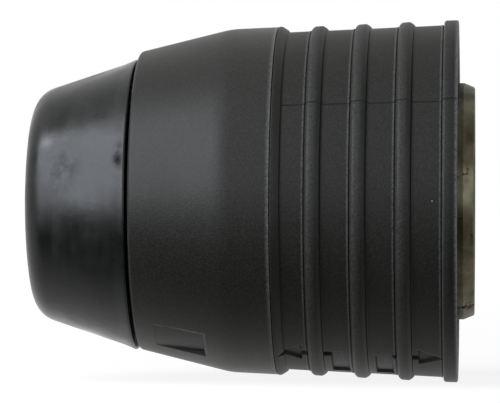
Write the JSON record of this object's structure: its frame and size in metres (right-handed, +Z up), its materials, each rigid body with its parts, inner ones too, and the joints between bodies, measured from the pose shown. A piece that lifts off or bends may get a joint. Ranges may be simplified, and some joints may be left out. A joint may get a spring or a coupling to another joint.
{
  "type": "drill chuck",
  "caption": "Quick-change hammer drill chuck with a rubber nose cap, a sliding release sleeve for the tool and a ribbed lock sleeve that frees it from the drill spindle.",
  "frame": {"origin": "centre of the flat rear face of the steel tool holder, where it seats on the spindle shoulder", "axes": "X is the chuck's axis, +X out of the spindle socket and -X out of the nose; +Z is up as the chuck lies on its side"},
  "size_m": [0.0649, 0.0533, 0.0532],
  "materials": {
    "hardened_steel": "turned and hardened, lightly oiled",
    "bearing_steel": "polished",
    "spring_steel": "drawn wire",
    "blackened_steel": "phosphated",
    "nose_rubber": "semi-gloss moulded",
    "front_sleeve_plastic": "fine spark-eroded texture",
    "rear_sleeve_plastic": "satin moulded",
    "seal_rubber": "oiled"
  },
  "bodies": {
    "tool_holder": {"tool_holder_body": "hardened_steel", "nose_cap": "nose_rubber", "nose_cap_core": "blackened_steel", "cap_retaining_ring": "spring_steel", "front_circlip": "blackened_steel", "front_stop_washer": "blackened_steel", "tool_spring": "spring_steel", "tool_spring_washer": "blackened_steel", "lock_sleeve_spring": "spring_steel", "spring_seat_washer": "blackened_steel", "rear_circlip": "blackened_steel", "socket_seal": "seal_rubber"},
    "release_sleeve": {"release_sleeve": "front_sleeve_plastic", "locking_ring": "hardened_steel", "locking_ring_clip": "spring_steel"},
    "thrust_plate": {"ball_thrust_plate": "blackened_steel"},
    "lock_sleeve": {"lock_sleeve": "rear_sleeve_plastic", "lock_cam_ring": "hardened_steel"},
    "tool_ball_1": {"tool_lock_ball_1": "bearing_steel"},
    "tool_ball_2": {"tool_lock_ball_2": "bearing_steel"},
    "spindle_ball_1": {"spindle_lock_ball_1": "bearing_steel"},
    "spindle_ball_2": {"spindle_lock_ball_2": "bearing_steel"},
    "spindle_ball_3": {"spindle_lock_ball_3": "bearing_steel"}
  },
  "joints": [
    {"name": "release_sleeve_slide", "type": "slide", "parent": "tool_holder", "child": "release_sleeve", "axis": [1, 0, 0], "range_m": [0, 0.004], "stiffness_N_per_m": 4500, "springref_m": -0.0027, "deforming": ["tool_spring"]},
    {"name": "thrust_plate_slide", "type": "slide", "parent": "tool_holder", "child": "thrust_plate", "axis": [1, 0, 0], "range_m": [0, 0.004]},
    {"name": "lock_sleeve_slide", "type": "slide", "parent": "release_sleeve", "child": "lock_sleeve", "axis": [1, 0, 0], "range_m": [0, 0.0065], "stiffness_N_per_m": 3000, "springref_m": -0.004, "deforming": ["lock_sleeve_spring"]},
    {"name": "tool_ball_1_lift", "type": "slide", "parent": "tool_holder", "child": "tool_ball_1", "axis": [0, 0, 1], "range_m": [0, 0.00135]},
    {"name": "tool_ball_2_lift", "type": "slide", "parent": "tool_holder", "child": "tool_ball_2", "axis": [0, 0, -1], "range_m": [0, 0.00135]},
    {"name": "spindle_ball_1_lift", "type": "slide", "parent": "tool_holder", "child": "spindle_ball_1", "axis": [0, 0, 1], "range_m": [0, 0.0015]},
    {"name": "spindle_ball_2_lift", "type": "slide", "parent": "tool_holder", "child": "spindle_ball_2", "axis": [0, -0.866, -0.5], "range_m": [0, 0.0015]},
    {"name": "spindle_ball_3_lift", "type": "slide", "parent": "tool_holder", "child": "spindle_ball_3", "axis": [0, 0.866, -0.5], "range_m": [0, 0.0015]}
  ],
  "couplings": [
    {"joint": "thrust_plate_slide", "follows": "release_sleeve_slide", "ratio": 1},
    {"joint": "tool_ball_1_lift", "follows": "release_sleeve_slide", "ratio": 0.3375},
    {"joint": "tool_ball_2_lift", "follows": "release_sleeve_slide", "ratio": 0.3375},
    {"joint": "spindle_ball_1_lift", "follows": "lock_sleeve_slide", "ratio": 0.23077},
    {"joint": "spindle_ball_2_lift", "follows": "lock_sleeve_slide", "ratio": 0.23077},
    {"joint": "spindle_ball_3_lift", "follows": "lock_sleeve_slide", "ratio": 0.23077}
  ]
}
